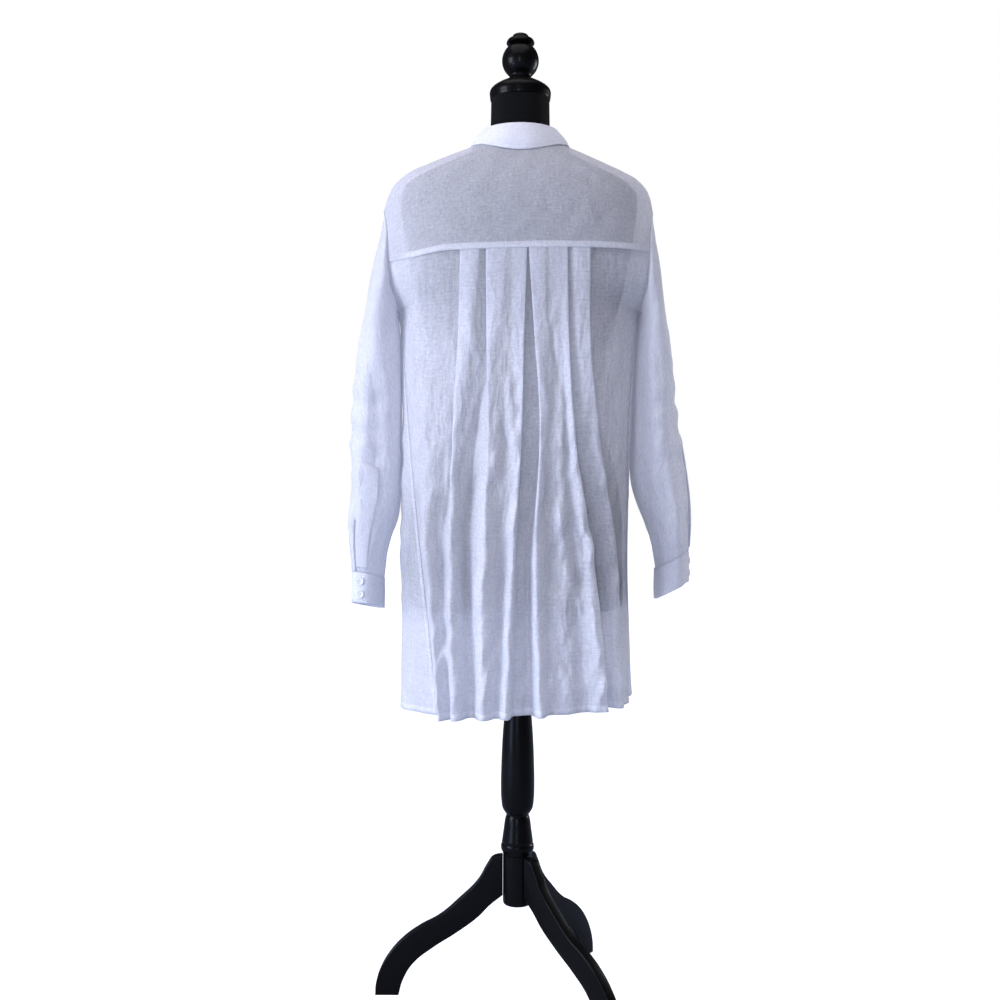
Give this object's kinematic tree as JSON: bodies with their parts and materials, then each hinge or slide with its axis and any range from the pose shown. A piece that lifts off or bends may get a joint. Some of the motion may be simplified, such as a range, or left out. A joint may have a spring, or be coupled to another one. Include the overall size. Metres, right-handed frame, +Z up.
{
  "type": "shirt dress on a dress form",
  "caption": "Long sheer shirt dress with a yoke, back pleats, collar and cuffed sleeves, hung on a smooth limbless dress form with a turned pole and a tripod",
  "frame": {"origin": "on the floor at the pole's axis, under the middle of the whole object", "axes": "+Z up along the pole, +Y towards the wearer's back, +X towards the wearer's left side"},
  "size_m": [0.5494, 0.3646, 1.5356],
  "materials": {
    "linen": "sheer plain-weave linen, unpressed",
    "linen_double": "plain-weave linen in two or more layers",
    "button": "white, glossy",
    "jersey": "black knitted cover, matt",
    "black_wood": "turned wood, black satin lacquer"
  },
  "bodies": {
    "root": {"back_panel": "linen", "back_yoke": "linen", "front_left": "linen", "front_right": "linen", "sleeve_left": "linen", "sleeve_right": "linen", "button_placket": "linen_double", "collar_stand": "linen_double", "collar": "linen_double", "sleeve_placket_left": "linen_double", "sleeve_placket_right": "linen_double", "cuff_left": "linen_double", "cuff_right": "linen_double", "front_button_1": "button", "front_button_2": "button", "front_button_3": "button", "front_button_4": "button", "front_button_5": "button", "stand_button": "button", "cuff_button_left_1": "button", "cuff_button_left_2": "button", "cuff_button_right_1": "button", "cuff_button_right_2": "button", "form_torso": "jersey", "neck_finial": "black_wood", "pole": "black_wood", "hub": "black_wood", "leg_1": "black_wood", "leg_2": "black_wood", "leg_3": "black_wood"}
  },
  "joints": []
}
